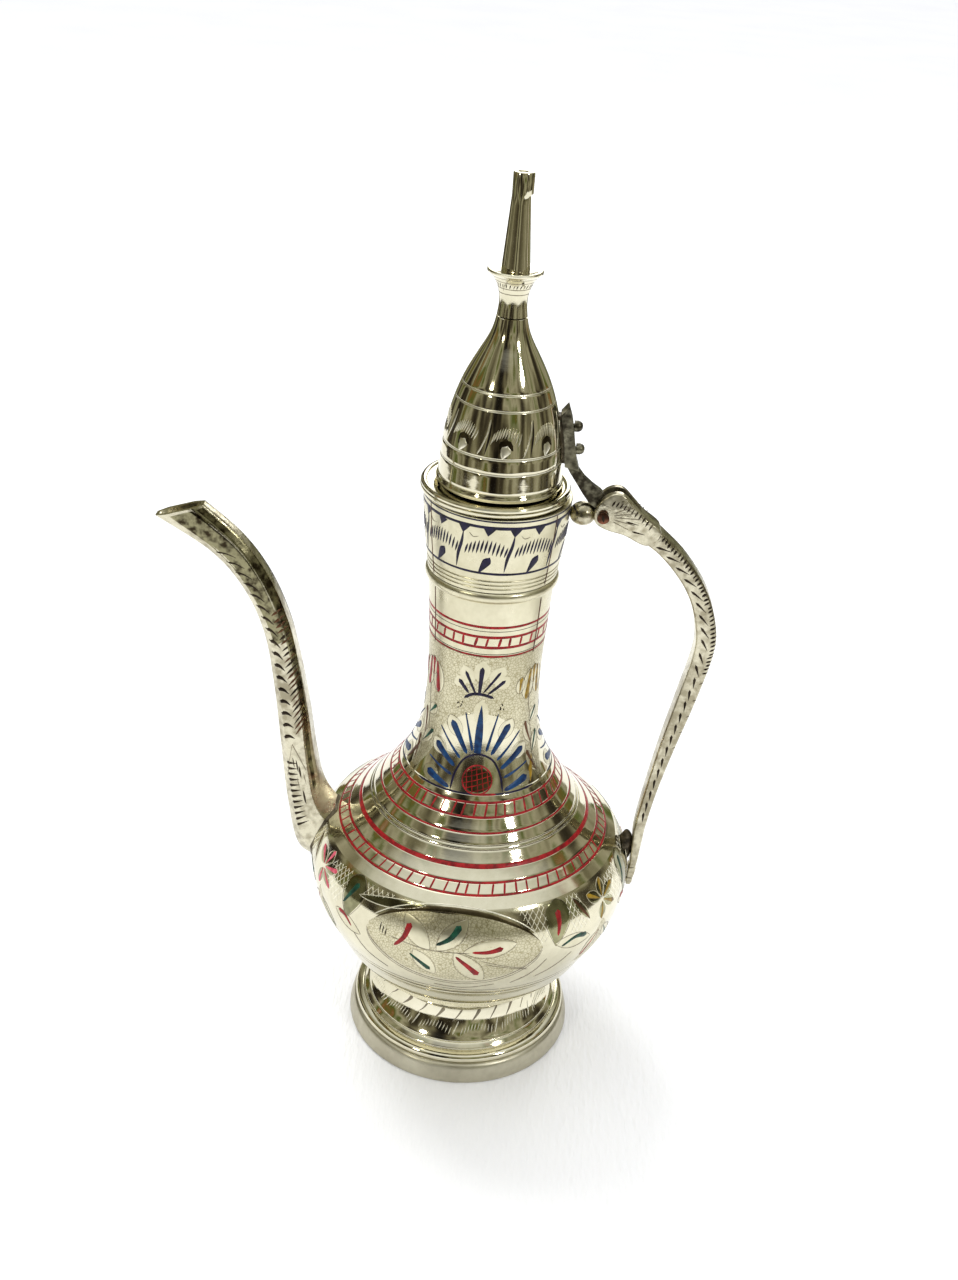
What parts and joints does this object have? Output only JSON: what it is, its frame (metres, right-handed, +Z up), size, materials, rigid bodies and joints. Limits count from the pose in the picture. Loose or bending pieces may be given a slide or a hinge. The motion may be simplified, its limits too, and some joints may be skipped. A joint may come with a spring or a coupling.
{
  "type": "long-spouted coffee pot",
  "caption": "Engraved, plated coffee pot on a turned foot, with a swan-neck spout, a strap handle and a domed lid that swings on a pin at the handle's head.",
  "frame": {"origin": "centre of the footprint of the pot's bounding box, on the surface it stands on", "axes": "+Z up, +X towards the handle and -X towards the spout, +Y to the pot's left side seen from the handle's side of the mouth"},
  "size_m": [0.1156, 0.0712, 0.196],
  "materials": {
    "bright_plate": "mirror-polished nickel-silver plate over brass",
    "engraved_plate": "polished plate over brass, engraved and filled with coloured enamel",
    "satin_plate": "satin turned plate over brass",
    "cast_plate": "cast brass, plated, with dark chiselled notches",
    "copper_pin": "bare copper-brown pin, dull",
    "braze": "dark, rough braze"
  },
  "bodies": {
    "pot": {"foot_ring": "satin_plate", "foot": "bright_plate", "bowl": "engraved_plate", "shoulder": "engraved_plate", "neck": "engraved_plate", "neck_bead": "bright_plate", "mouth_cup": "engraved_plate", "mouth_rim": "bright_plate", "spout": "cast_plate", "handle": "cast_plate", "handle_stub": "braze", "hinge_lug": "cast_plate", "hinge_pin": "copper_pin"},
    "lid": {"lid_dome": "bright_plate", "lid_lip": "bright_plate", "finial_collar": "bright_plate", "finial_rod": "bright_plate", "hinge_arm": "cast_plate", "arm_rivet_upper": "cast_plate", "arm_rivet_lower": "copper_pin"}
  },
  "joints": [
    {"name": "lid_hinge", "type": "hinge", "parent": "pot", "child": "lid", "pos_m": [0.03159, 0, 0.1316], "axis": [0, 1, 0], "range_deg": [0, 110]}
  ]
}
